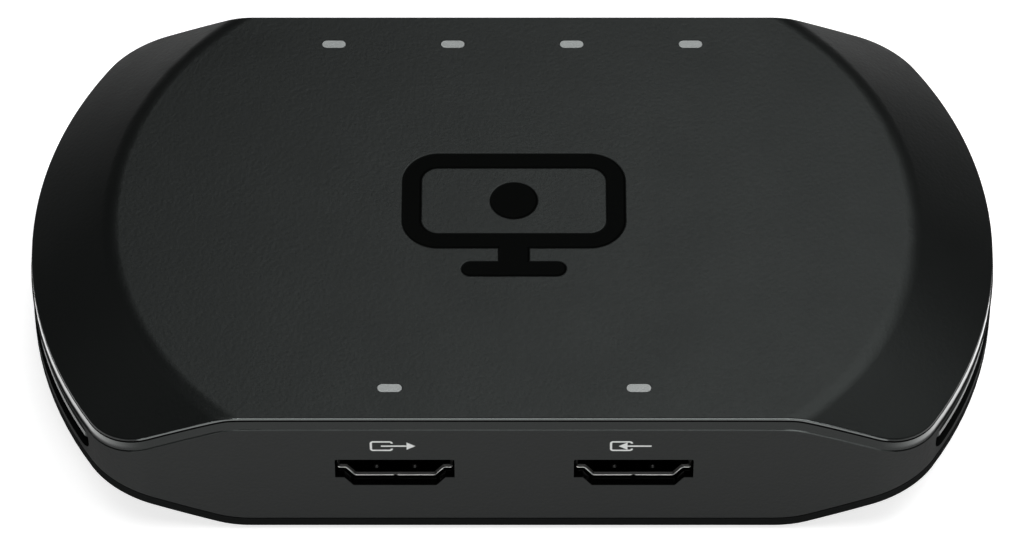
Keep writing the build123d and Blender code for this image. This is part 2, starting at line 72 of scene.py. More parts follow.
MM = 0.001
# Near black, laid as painted shade in the slit under the cover, the video openings and the louvres
SHADE_BLACK = (0.0005, 0.0005, 0.0005)
PRINT_BLUR = 0.05 * MM
VIDEO_PORTS = ("hdmi_out", "hdmi_in")
DATA_PORTS = ("usb_data", "usb_power")
AUDIO_PORTS = ("audio_in", "audio_out")
FOOT_NODES = tuple(name for name in sorted(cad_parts) if name.endswith("_foot"))


class ShellLook(bpy.types.PropertyGroup):
    """Colours and surface of the moulded shells"""

    cover: bpy.props.FloatVectorProperty(
        name="Cover", description="Colour of the top cover", subtype="COLOR", default=(0.0033, 0.0037, 0.0036)
    )
    ring: bpy.props.FloatVectorProperty(
        name="Frame", description="Colour of the middle frame", subtype="COLOR", default=(0.004, 0.0044, 0.0043)
    )
    base: bpy.props.FloatVectorProperty(
        name="Base", description="Colour of the base cover", subtype="COLOR", default=(0.0034, 0.0037, 0.0036)
    )
    louvre: bpy.props.FloatVectorProperty(
        name="Louvres",
        description="Colour of the rib along each side louvre",
        subtype="COLOR",
        default=(0.006, 0.0064, 0.0063),
    )
    roughness: bpy.props.FloatProperty(
        name="Roughness", description="Roughness of the satin plastic", default=0.34, min=0, max=1
    )
    sheen: bpy.props.FloatProperty(
        name="Sheen", description="Strength of the satin's reflections", default=0.19, min=0, max=1
    )
    sheen_tint: bpy.props.FloatVectorProperty(
        name="Sheen tint", description="Tint of the reflections", subtype="COLOR", default=(0.91, 1, 0.97)
    )
    polish: bpy.props.FloatProperty(
        name="Polish", description="Roughness of the smooth rim band", default=0.1, min=0, max=1
    )
    band_sheen: bpy.props.FloatProperty(
        name="Band sheen", description="Strength of the rim band's reflections", default=0.19, min=0, max=1
    )
    slit_top: bpy.props.FloatProperty(
        name="Slit top",
        description="From the roof down to the slit under the cover",
        default=0.00036,
        unit="LENGTH",
    )
    slit_foot: bpy.props.FloatProperty(
        name="Slit foot", description="From the roof down to the frame's rim", default=0.00067, unit="LENGTH"
    )
    grain: bpy.props.FloatProperty(
        name="Grain", description="Size of one grain of the texture", default=0.0004, unit="LENGTH"
    )
    grain_depth: bpy.props.FloatProperty(
        name="Grain depth", description="Height of the texture", default=0.000012, unit="LENGTH"
    )
    crease: bpy.props.FloatProperty(
        name="Crease", description="Angle past which an edge stays sharp", default=radians(28), subtype="ANGLE"
    )
    side_centre: bpy.props.FloatProperty(
        name="Side centre", description="From the middle to a side's upright axis", default=0.009, unit="LENGTH"
    )
    bevel_run: bpy.props.FloatProperty(
        name="Bevel run", description="Width of the sloping field", default=0.01095, unit="LENGTH"
    )
    bevel_drop: bpy.props.FloatProperty(
        name="Bevel drop", description="How far the sloping field falls", default=0.00615, unit="LENGTH"
    )
    band: bpy.props.FloatProperty(
        name="Band", description="Depth of the smooth rim band under the roof", default=0.00232, unit="LENGTH"
    )


class EmblemSizes(bpy.types.PropertyGroup):
    """Sizes of the sunk screen emblem on the cover"""

    width: bpy.props.FloatProperty(name="Width", description="Width of the screen", default=0.03, unit="LENGTH")
    height: bpy.props.FloatProperty(
        name="Height", description="Height of the screen", default=0.0165, unit="LENGTH"
    )
    corner: bpy.props.FloatProperty(
        name="Corner", description="Radius of its corners", default=0.0036, unit="LENGTH"
    )
    stroke: bpy.props.FloatProperty(
        name="Stroke", description="Width of its lines", default=0.0026, unit="LENGTH"
    )
    stand: bpy.props.FloatProperty(name="Stand", description="Width of the foot", default=0.014, unit="LENGTH")
    dot: bpy.props.FloatProperty(name="Dot", description="Radius of the dot", default=0.0032, unit="LENGTH")
    depth: bpy.props.FloatProperty(
        name="Depth", description="How far it is sunk", default=0.00012, unit="LENGTH"
    )
    colour: bpy.props.FloatVectorProperty(
        name="Colour", description="Colour of the sunk field", subtype="COLOR", default=(0.0008, 0.0009, 0.0008)
    )


class MarkSizes(bpy.types.PropertyGroup):
    """Sizes of the printed arrow marks above the video sockets"""

    height: bpy.props.FloatProperty(
        name="Height", description="Height of a mark", default=0.0021, unit="LENGTH"
    )
    line: bpy.props.FloatProperty(
        name="Line", description="Width of its lines", default=0.00028, unit="LENGTH"
    )
    level: bpy.props.FloatProperty(
        name="Level", description="Height above the desk", default=0.01815, unit="LENGTH"
    )
    ink: bpy.props.FloatVectorProperty(
        name="Ink", description="Colour of the print", subtype="COLOR", default=(0.78, 0.79, 0.78)
    )


class FittingSizes(bpy.types.PropertyGroup):
    """Sizes of the small turned, rolled and moulded fittings"""

    lip: bpy.props.FloatProperty(
        name="Lip", description="Width of a socket's lip", default=0.00018, unit="LENGTH"
    )
    seam: bpy.props.FloatProperty(
        name="Seam", description="Gap in a lip's lower run", default=0.0004, unit="LENGTH"
    )
    collar: bpy.props.FloatProperty(
        name="Collar", description="How far a jack's collar stands out", default=0.00018, unit="LENGTH"
    )
    groove: bpy.props.FloatProperty(
        name="Groove", description="Depth of a foot's ring grooves", default=0.00014, unit="LENGTH"
    )
    drive: bpy.props.FloatProperty(
        name="Drive", description="Depth of a screw's cross recess", default=0.0007, unit="LENGTH"
    )
    guide: bpy.props.FloatVectorProperty(
        name="Light guide",
        description="Colour of the frosted pipes",
        subtype="COLOR",
        default=(0.25, 0.268, 0.263),
    )


class StageSizes(bpy.types.PropertyGroup):
    """Camera, lamps and floor of the studio"""

    lens: bpy.props.FloatProperty(name="Lens", description="Focal length in millimetres", default=205.52)
    distance: bpy.props.FloatProperty(
        name="Distance", description="From the camera to the box", default=0.79149, unit="LENGTH"
    )
    elevation: bpy.props.FloatProperty(
        name="Elevation", description="Angle above the desk", default=radians(51), subtype="ANGLE"
    )
    target: bpy.props.FloatVectorProperty(
        name="Target",
        description="Where the camera looks",
        subtype="TRANSLATION",
        default=(-0.000032, -0.000687, 0.012292),
    )
    floor: bpy.props.FloatProperty(name="Floor", description="Side of the floor", default=12, unit="LENGTH")


GROUPS = {
    "capture_shells": ShellLook,
    "capture_emblem": EmblemSizes,
    "capture_marks": MarkSizes,
    "capture_fittings": FittingSizes,
    "capture_stage": StageSizes,
}


class Wire:
    """A socket's value in shader maths; each operator adds one Math node."""

    def __init__(self, shading, socket):
        self.shading = shading
        self.socket = socket

    def math(self, operation, *others):
        settings = {"operation": operation}
        return self.shading.node("ShaderNodeMath", settings, dict(enumerate((self, *others)))).out()

    def __add__(self, other):
        return self.math("ADD", other)

    __radd__ = __add__

    def __sub__(self, other):
        return self.math("SUBTRACT", other)

    def __rsub__(self, other):
        return self.shading.node("ShaderNodeMath", {"operation": "SUBTRACT"}, {0: other, 1: self}).out()

    def __mul__(self, other):
        return self.math("MULTIPLY", other)

    __rmul__ = __mul__

    def __neg__(self):
        return self * -1

    def __abs__(self):
        return self.math("ABSOLUTE")

    def most(self, other):
        return self.math("MAXIMUM", other)

    def least(self, other):
        return self.math("MINIMUM", other)

    def root(self):
        return self.math("SQRT")

    def to_lines(self, cell):
        """Distance to the nearest of straight lines that lie a cell apart."""
        return abs(self.math("PINGPONG", cell) - cell / 2)

    def rise(self, low, high):
        """Nought below low and one above high, with a smooth climb between."""
        settings = {"interpolation_type": "SMOOTHSTEP"}
        return self.shading.node("ShaderNodeMapRange", settings, {0: self, 1: low, 2: high}).out()


class Step:
    """One node, whose outputs are read as wires."""

    def __init__(self, shading, node):
        self.shading = shading
        self.made = node

    def out(self, key=0):
        return Wire(self.shading, self.made.outputs[key])


class Shading:
    """A material that is built on one surface shader."""

    def __init__(self, name, **constants):
        self.material = bpy.data.materials.new(name)
        self.material.use_nodes = True
        self.tree = self.material.node_tree
        self.surface = self.tree.nodes["Principled BSDF"]
        for key, value in constants.items():
            self.surface.inputs[key.replace("_", " ").title().replace("Ior", "IOR")].default_value = value
        place = self.node("ShaderNodeTexCoord").out("Object")
        apart = self.node("ShaderNodeSeparateXYZ", {}, {0: place})
        self.place = place
        self.x, self.y, self.z = (apart.out(i) for i in range(3))

    def node(self, kind, settings=None, values=None):
        """Adds a node, sets what it is first, and then its sockets' values or links."""
        made = self.tree.nodes.new(kind)
        for key, value in (settings or {}).items():
            setattr(made, key, value)
        for key, value in (values or {}).items():
            if isinstance(value, Wire):
                self.tree.links.new(value.socket, made.inputs[key])
            else:
                made.inputs[key].default_value = value
        return Step(self, made)

    def noise(self, size, detail=2.0, roughness=0.5, stretch=(1, 1, 1)):
        """Noise about one half, in lumps of the given size in metres."""
        where = self.node("ShaderNodeMapping", {}, {"Vector": self.place, "Scale": stretch}).out()
        values = {"Vector": where, "Scale": 1 / size, "Detail": detail, "Roughness": roughness}
        return self.node("ShaderNodeTexNoise", {}, values).out("Fac")

    def cells(self, size):
        """Distance to the nearest of scattered points that lie about size apart."""
        return self.node("ShaderNodeTexVoronoi", {}, {"Vector": self.place, "Scale": 1 / size}).out("Distance")

    def mix(self, share, first, second):
        """A colour that goes from the first to the second as the share goes from nought to one."""
        settings = {"data_type": "RGBA"}
        first = first if isinstance(first, Wire) else (*first, 1)
        second = second if isinstance(second, Wire) else (*second, 1)
        return self.node("ShaderNodeMix", settings, {0: share, 6: first, 7: second}).out(2)

    def set(self, key, wire):
        self.tree.links.new(wire.socket, self.surface.inputs[key])

    def raise_surface(self, height):
        """Tilts the normals as a height in metres over the surface would."""
        values = {"Height": height, "Distance": 1.0, "Strength": 1.0}
        normal = self.node("ShaderNodeBump", {}, values).out()
        self.set("Normal", normal)
        return normal

    def lay(self, share, tone, roughness, level, normal=None, coat=0.0):
        """Lays another surface over what is there, where the share is one.

        level is the strength of its reflections, and coat that of a clear layer on it, which is
        as rough as the surface.
        """
        values = {"Base Color": tone if isinstance(tone, Wire) else (*tone, 1)}
        values |= {"Roughness": roughness, "Specular IOR Level": level}
        values |= {"Coat Weight": coat, "Coat Roughness": roughness}
        values["Specular Tint"] = self.surface.inputs["Specular Tint"].default_value
        if normal:
            values["Normal"] = normal
        other = self.node("ShaderNodeBsdfPrincipled", {}, values)
        end = self.tree.nodes["Material Output"].inputs["Surface"]
        under = Wire(self, end.links[0].from_socket)
        both = self.node("ShaderNodeMixShader", {}, {0: share, 1: under, 2: other.out()}).out()
        self.tree.links.new(both.socket, end)


def rounded_box(x, y, half_width, half_height, corner):
    """Signed distance to a rounded rectangle: the length of what sticks out, less the corner."""
    over_x = abs(x) - (half_width - corner)
    over_y = abs(y) - (half_height - corner)
    outside_x = over_x.most(0)
    outside_y = over_y.most(0)
    return (outside_x * outside_x + outside_y * outside_y).root() + over_x.most(over_y).least(0) - corner


def satin(name, colour, look, shine=1.0):
    """Moulded plastic with a fine even grain; its shading carries the tone, gloss and height.

    shine scales the strength of its reflections.
    """
    made = Shading(name, specular_ior_level=shine * look.sheen, specular_tint=(*look.sheen_tint, 1))
    lumps = made.noise(look.grain, 2.0)
    broad = made.noise(30 * look.grain, 3.0)
    fine = made.cells(1.6 * look.grain)
    paler = tuple(channel * 1.12 for channel in colour)
    made.tone = made.mix(lumps * 0.6 + broad * 0.4, colour, paler)
    made.gloss = (broad - 0.5) * 0.08 + (lumps - 0.5) * 0.1 + look.roughness
    made.height = (lumps + fine * 0.6) * look.grain_depth
    return made


def roof_depth(made, look):
    """Depth below the roof: level out to the start of the slope, and falling from there.

    With q the distance past that start, the slope has run (q + sqrt(q^2 + 4 k^2)) / 2, so the
    bend is soft over a few times k.
    """
    out = (abs(made.x) - look.side_centre).most(0)
    reach = (out * out + made.y * made.y).root()
    past = reach - (cad_box[1].x - look.side_centre - look.bevel_run)
    bend = 0.3 * MM
    run = (past + (past * past + 4 * bend * bend).root()) * 0.5
    return (cad_box[1].z - look.bevel_drop / look.bevel_run * run) - made.z


def close_satin(made):
    """Joins the tone, gloss and height of a satin plastic to its surface."""
    made.set("Base Color", made.tone)
    made.set("Roughness", made.gloss)
    return made.raise_surface(made.height)


def paint_slit_shade(made, depth, look):
    """Lays a matte black painted shade over the walls of the slit between the cover and the frame."""
    below_cover = depth.rise(look.slit_top - 0.04 * MM, look.slit_top)
    above_frame = 1 - depth.rise(look.slit_foot, look.slit_foot + 0.05 * MM)
    made.lay(below_cover * above_frame, SHADE_BLACK, roughness=0.7, level=0.02)
    return made.material


def emblem_distance(made, sizes):
    """Distance to the emblem: a screen's outline with a round dot in it, over a neck and a foot.

    The neck and the foot are measured in strokes, down from the screen's lower edge.
    """
    middle_x, middle_y = 0.2 * MM, 2.0 * MM
    x = made.x - middle_x
    y = made.y - middle_y
    stroke = sizes.stroke
    half_width, half_height = (sizes.width - stroke) / 2, (sizes.height - stroke) / 2
    ring = abs(rounded_box(x, y, half_width, half_height, sizes.corner)) - stroke / 2
    dot = (x * x + y * y).root() - sizes.dot
    low = y + sizes.height / 2
    neck = rounded_box(x, low + 0.9 * stroke / 2, stroke * 0.8, stroke, 0.1 * stroke)
    foot = rounded_box(x, low + 1.35 * stroke, sizes.stand / 2, stroke / 2, stroke / 2)
    return ring.least(dot).least(neck).least(foot)


def arrow_mark(made, sizes, x, leaves):
    """Distance to a port mark: an open box with an arrow that leaves it or goes into it.

    Its parts are measured in halves of the mark's height.
    """
    z = made.z - sizes.level
    half = sizes.height / 2
    line = sizes.line / 2
    box_x = x + 1.6 * half
    box = abs(rounded_box(box_x, z, 1.3 * half, half - line, 0.3 * half)) - line
    door = rounded_box(box_x - 1.4 * half, z, 0.7 * half, 0.52 * half, 0.05 * half)
    box = box.most(-door)
    shaft_x = x - 0.25 * half
    shaft = rounded_box(shaft_x, z, 1.9 * half, line, 0.4 * line)
    tip = shaft_x - 2.4 * half if leaves else -(shaft_x + 2.2 * half)
    head = (abs(z) * 0.83 + tip * 0.56).most(-tip - 1.1 * half)
    return box.least(shaft).least(head)


def side_share(made):
    """Nought along the front and the rear, and climbing to one over the bulging sides."""
    begins, full = 17 * MM, 7 * MM
    return abs(made.x).rise(cad_box[1].x - begins, cad_box[1].x - full)


def cover_finish(look, sizes):
    """Satin plastic with a polished front edge and a sunk, matte black emblem with a soft shoulder; the slit
    under its edge gets painted shade.
    """
    made = satin("cover_satin", look.cover, look)
    distance = emblem_distance(made, sizes)
    roof, face = cad_box[1].z, cad_box[0].y
    above = made.z.rise(roof - 1.5 * MM, roof - 1.2 * MM)
    field = (1 - distance.rise(-0.08 * MM, 0.08 * MM)) * above
    sunk = (1 - distance.rise(-0.3 * MM, 0.16 * MM)) * above
    rim = 1 - made.y.rise(face + 0.26 * MM, face + 0.38 * MM)
    made.height = made.height * (1 - field * 0.85) - sunk * sizes.depth
    normal = close_satin(made)
    made.lay(rim, made.tone, look.polish, level=1.0, coat=0.6)
    made.lay(field, sizes.colour, roughness=0.5, level=0.02, normal=normal)
    # Painted shade on the walls of the slit under the cover's edge
    return paint_slit_shade(made, roof_depth(made, look), look)


def port_shapes(made, sizes):
    """Distances to the printed marks and to the openings of the two video sockets, which get painted shade."""
    room, corner = 0.5 * MM, 0.2 * MM
    marks, shaded_openings = [], []
    for port, leaves in zip(VIDEO_PORTS, (True, False)):
        low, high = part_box(f"{port}_shell")
        x = made.x - (low.x + high.x) / 2
        marks.append(arrow_mark(made, sizes, x, leaves))
        half, tall = (high.x - low.x) / 2 + room, (high.z - low.z) / 2 + room
        shaded_openings.append(rounded_box(x, made.z - (low.z + high.z) / 2, half, tall, corner))
    return marks[0].least(marks[1]), shaded_openings[0].least(shaded_openings[1])


def ring_finish(look, sizes):
    """Satin plastic with a smooth rim band and printed port marks, and painted shade in the video openings and
    in the slit.

    Over the sides the satin turns matte, and the upper part of the band is polished.
    """
    made = satin("frame_satin", look.ring, look, 0.68)
    depth = roof_depth(made, look)
    face = cad_box[0].y
    band = 1 - depth.rise(look.band - 0.03 * MM, look.band + 0.05 * MM)
    ledge_start = depth.rise(look.band - 0.15 * MM, look.band - 0.1 * MM)
    upper = 1 - depth.rise(1.3 * MM, 2.0 * MM)
    front = 1 - made.y.rise(face + 0.25 * MM, face + 0.4 * MM)
    behind = made.y.rise(face + 0.06 * MM, face + 0.2 * MM)
    behind = behind * (1 - made.y.rise(face + 4 * MM, face + 5 * MM))
    side = side_share(made)
    mark, shaded_opening = port_shapes(made, sizes)
    inked = (1 - mark.rise(-PRINT_BLUR, PRINT_BLUR)) * front
    opening_shade = (1 - shaded_opening.rise(-PRINT_BLUR, PRINT_BLUR)) * behind
    normal = close_satin(made)
    made.lay(side * 0.82, made.tone, roughness=0.8, level=0.0, normal=normal)
    made.lay(band * (1 - side * (1 - upper)), made.tone, look.polish, look.band_sheen)
    made.lay(upper * side, made.tone, roughness=0.06, level=1.0, coat=1.0)
    made.lay(ledge_start * band * front, made.tone, roughness=0.3, level=0.55)
    made.lay(inked, sizes.ink, roughness=0.5, level=0.3, normal=normal)
    # Painted shade: near black over the walls of the video openings, just behind the face
    made.lay(opening_shade, SHADE_BLACK, roughness=0.25, level=0.1)
    # Painted shade on the walls of the slit under the cover's edge
    return paint_slit_shade(made, depth, look)


def base_finish(look):
    """The shells' plastic, but rougher and duller, most of all over the sides."""
    made = satin("base_satin", look.base, look, 0.2)
    made.gloss = made.gloss + 0.35
    normal = close_satin(made)
    made.lay(side_share(made) * 0.7, made.tone, roughness=0.8, level=0.0, normal=normal)
    return made.material


def louvre_finish(look):
    """Satin black plastic under a near-black painted shade everywhere but its rib, which sits at the outer face
    of the vent and is paler and smooth.
    """
    made = satin("louvre_satin", look.louvre, look)
    out = abs(made.x) - look.side_centre
    reach = (out * out + made.y * made.y).root()
    outer = cad_box[1].x - look.side_centre
    rib = reach.rise(outer - 0.62 * MM, outer - 0.52 * MM)
    close_satin(made)
    # Painted shade: near black over the louvre deep in the vent, all but the rib
    made.lay(1 - rib, SHADE_BLACK, roughness=0.8, level=0.02)
    made.lay(rib, look.louvre, roughness=0.3, level=0.4)
    return made.material


def plated(name, colour, roughness, grain, dark=None):
    """Plated sheet with faint rolling lines along the socket.

    dark gives the y where a video socket's sheet passes from its bright front edge into the
    painted shade inside, and the top of its floor; over a band just above the floor, where the dimples are, the
    painted shade is lighter.
    """
    made = Shading(name, metallic=1.0)
    lines = made.noise(grain, 3.0, 0.6, (1, 0.06, 1))
    tone = made.mix(lines, tuple(0.88 * c for c in colour), colour)
    if dark:
        edge, floor = dark
        inside = made.y.rise(edge, edge + 0.25 * MM)
        above_floor = made.z.rise(floor + 0.1 * MM, floor + 0.25 * MM)
        below_roof = 1 - made.z.rise(floor + MM, floor + 1.1 * MM)
        # Painted shade inside a video socket, lifted by nearly half over the dimples' band above its floor
        tone = made.mix(inside * (1 - above_floor * below_roof * 0.45), tone, (0.01, 0.01, 0.01))
    made.set("Base Color", tone)
    made.set("Roughness", lines * 0.16 + (roughness - 0.08))
    made.raise_surface(lines * 0.002 * MM)
    return made.material


def moulded(name, colour, roughness, grain, depth, **constants):
    """A plain moulded, pressed or coated material with a fine uneven face."""
    made = Shading(name, **constants)
    lumps = made.noise(grain, 3.0, 0.6)
    made.set("Base Color", made.mix(lumps, tuple(0.85 * c for c in colour), tuple(1.15 * c for c in colour)))
    made.set("Roughness", lumps * 0.14 + (roughness - 0.07))
    made.raise_surface(lumps * depth)
    return made.material


def guide_finish(colour):
    """Frosted pale plastic with an uneven haze."""
    made = Shading("frosted_guide", specular_ior_level=0.6)
    haze = made.noise(0.5 * MM, 2.0)
    made.set("Base Color", made.mix(haze, tuple(0.8 * c for c in colour), tuple(1.2 * c for c in colour)))
    made.set("Roughness", haze * 0.2 + 0.25)
    made.raise_surface(haze * 0.004 * MM)
    return made.material


def mask_finish():
    """Solder mask over copper: pale lands and runs show through the green as squared lines."""
    made = Shading("solder_mask", coat_weight=0.4, coat_roughness=0.2)
    cell = 1.3 * MM
    column, run = made.x.to_lines(cell), made.y.to_lines(cell)
    pick = made.noise(6 * MM, 0.0).rise(0.48, 0.52)
    wired = made.noise(9 * MM, 1.0).rise(0.45, 0.5)
    trace = (1 - (column * pick + run * (1 - pick)).rise(0.1 * MM, 0.16 * MM)) * wired
    bare, over_copper = (0.006, 0.045, 0.028), (0.015, 0.1, 0.06)
    made.set("Base Color", made.mix(trace, bare, over_copper))
    made.set("Roughness", made.noise(0.4 * MM) * 0.1 + 0.3)
    made.raise_surface(trace * 0.02 * MM)
    return made.material


def dress(material, *names):
    """Puts one material on whole CAD nodes."""
    for name in names:
        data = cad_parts[name].data
        data.materials.clear()
        data.materials.append(material)


def finish_piece(name, mesh, material, replaced=()):
    """Links a new mesh as a named piece that rides on the root body."""
    mesh.materials.clear()
    mesh.materials.append(material)
    piece = bpy.data.objects.new(name, mesh)
    bpy.context.scene.collection.objects.link(piece)
    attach(piece, "root")
    if replaced:
        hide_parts(*replaced)


def woven_mesh(name, grids, along=False):
    """One mesh of grids of points. Each point is joined to the next across and along its grid.

    Every row closes on itself, and along joins the last row to the first. Points that fall
    together, as at a pole, are merged, and the faces are turned outwards.
    """
    points, quads, start = [], [], 0
    for grid in grids:
        index = np.arange(grid.shape[0] * grid.shape[1]).reshape(grid.shape[:2]) + start
        start += index.size
        index = np.hstack([index, index[:, :1]])
        index = np.vstack([index, index[:1]]) if along else index
        corners = (index[:-1, :-1], index[1:, :-1], index[1:, 1:], index[:-1, 1:])
        quads.append(np.stack(corners, -1).reshape(-1, 4))
        points.append(grid.reshape(-1, 3))
    mesh = bpy.data.meshes.new(name)
    mesh.from_pydata(np.vstack(points).tolist(), [], np.vstack(quads).tolist())
    work = bmesh.new()
    work.from_mesh(mesh)
    bmesh.ops.remove_doubles(work, verts=work.verts, dist=1e-7)
    loose = [edge for edge in work.edges if not edge.link_faces]
    bmesh.ops.delete(work, geom=loose, context="EDGES")
    bmesh.ops.recalc_face_normals(work, faces=work.faces)
    work.to_mesh(mesh)
    work.free()
    mesh.shade_smooth()
    return mesh


def even_normals(mesh, crease):
    """Gives each corner the mean of the face normals at its point, weighted by their areas.

    Only faces within the crease angle of the corner's own face count, so other edges stay sharp.
    """
    normal = np.array([face.normal for face in mesh.polygons])
    area = np.array([face.area for face in mesh.polygons])
    face_of = np.concatenate([np.full(face.loop_total, face.index) for face in mesh.polygons])
    point_of = np.array([loop.vertex_index for loop in mesh.loops])
    order = np.argsort(point_of, kind="stable")
    corners = np.empty((len(point_of), 3))
    for group in np.split(order, np.flatnonzero(np.diff(point_of[order])) + 1):
        around = normal[face_of[group]]
        near = around @ around.T > cos(crease)
        mean = (near * area[face_of[group]]) @ around
        corners[group] = mean / np.maximum(np.linalg.norm(mean, axis=1, keepdims=True), 1e-20)
    mesh.normals_split_custom_set(corners.tolist())


def smooth_copy(node, crease):
    """A CAD node's own mesh, merged, with smooth shading up to the crease angle."""
    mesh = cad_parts[node].data.copy()
    work = bmesh.new()
    work.from_mesh(mesh)
    bmesh.ops.remove_doubles(work, verts=work.verts, dist=1e-6)
    work.to_mesh(mesh)
    work.free()
    mesh.shade_smooth()
    even_normals(mesh, crease)
    return mesh


def turned(centre, profile, steps, axis):
    """A profile of (radius, height) rows turned about an upright or rearward axis at centre.

    A point lies at centre + radius * (cos t, sin t) across the axis + height along it.
    """
    radius, height = np.asarray(profile, float).T[:, :, None]
    turn = np.linspace(0, 2 * pi, steps, endpoint=False)[None, :]
    across, sideways = radius * np.cos(turn), radius * np.sin(turn)
    height = height + 0 * turn
    parts = (across, sideways, height) if axis == "Z" else (across, height, sideways)
    return np.stack(parts, -1) + np.asarray(centre, float)


def rounded_path(corners, cut):
    """A closed outline with each corner replaced by the curve (1-t)^2 A + 2t(1-t) C + t^2 B.

    C is the corner, and A and B lie on its two sides, cut away from it.
    """
    corners = np.asarray(corners, float)
    into = corners - np.roll(corners, 1, 0)
    out = np.roll(corners, -1, 0) - corners
    first = corners - cut * into / np.linalg.norm(into, axis=1, keepdims=True)
    last = corners + cut * out / np.linalg.norm(out, axis=1, keepdims=True)
    t = np.linspace(0, 1, 7)[None, :, None]
    curve = (1 - t) ** 2 * first[:, None] + 2 * t * (1 - t) * corners[:, None] + t**2 * last[:, None]
    return curve.reshape(-1, 2)


def fine_path(path, gap):
    """The same closed outline with points at even steps of about gap along it."""
    ring = np.vstack([path, path[:1]])
    length = np.concatenate([[0], np.cumsum(np.linalg.norm(np.diff(ring, axis=0), axis=1))])
    at = np.linspace(0, length[-1], max(24, int(length[-1] / gap)), endpoint=False)
    return np.stack([np.interp(at, length, ring[:, i]) for i in (0, 1)], -1)


def rolled_lip(path, mouth, forward, width, bulge, seam, level):
    """A rounded bead along an upright outline of (x, z) points.

    A point lies at path + (width/2 cos t) * side + (bulge sin t) * forward. The bead shrinks
    to nothing above the level, and within half a seam of the lower run's middle.
    """
    tangent = np.roll(path, -1, 0) - np.roll(path, 1, 0)
    tangent /= np.linalg.norm(tangent, axis=1, keepdims=True)
    side = np.stack([tangent[:, 1], -tangent[:, 0]], -1)
    lower = path[:, 1] < path[:, 1].min() + width
    full = np.where(lower, np.clip(abs(path[:, 0]) / (seam / 2) - 0.5, 0, 1), 1)[:, None]
    full = full * np.clip((level - path[:, 1:]) / width + 1, 0, 1)
    turn = np.linspace(0, 2 * pi, 14, endpoint=False)[None, :]
    reach = full * width / 2 * np.cos(turn)
    x = mouth[0] + path[:, :1] + reach * side[:, :1]
    z = mouth[2] + path[:, 1:] + reach * side[:, 1:]
    y = mouth[1] + forward * bulge * full * np.sin(turn)
    return np.stack([x, y + 0 * x, z], -1)


def video_lip_path(width, height, inset):
    """The mouth's outline, narrow at its foot and wide at its ears, drawn in by inset."""
    foot, neck, ear = 0.35 * width, 0.43 * width, 0.335 * height
    half, top = width / 2 - inset, height - inset
    right = [(foot - 0.4 * inset, inset), (neck - inset, ear + inset), (half, ear + inset), (half, top)]
    corners = right + [(-x, z) for x, z in reversed(right)]
    return fine_path(rounded_path(corners, 0.25 * MM), 0.12 * MM)


def slot_path(width, height, inset):
    """A stadium: straight runs joined by half circles of half its height."""
    radius = height / 2 - inset
    straight = width / 2 - height / 2
    turn = np.linspace(-pi / 2, pi / 2, 17)
    right = np.stack([straight + radius * np.cos(turn), height / 2 + radius * np.sin(turn)], -1)
    left = right[::-1] * (-1, 1)
    return fine_path(np.vstack([right, left]), 0.1 * MM)


class CaptureShells(bpy.types.Operator):
    """Shade the shells and louvres smooth and give them their satin plastic"""

    bl_idname = "capture.shells"
    bl_label = "Shells and louvres"

    def execute(self, context):
        scene = context.scene
        look = scene.capture_shells
        finishes = {
            "top_cover": (cover_finish(look, scene.capture_emblem), "cover_plastic"),
            "mid_frame": (ring_finish(look, scene.capture_marks), "frame_plastic"),
            "base_cover": (base_finish(look), "base_plastic"),
        }
        louvre = louvre_finish(look)
        for side in ("left", "right"):
            finishes[f"{side}_side_louvre"] = (louvre, "louvre_plastic")
        for node, (material, slot) in finishes.items():
            finish_piece(f"{node}_skin", smooth_copy(node, look.crease), material, (node,))
        return {"FINISHED"}


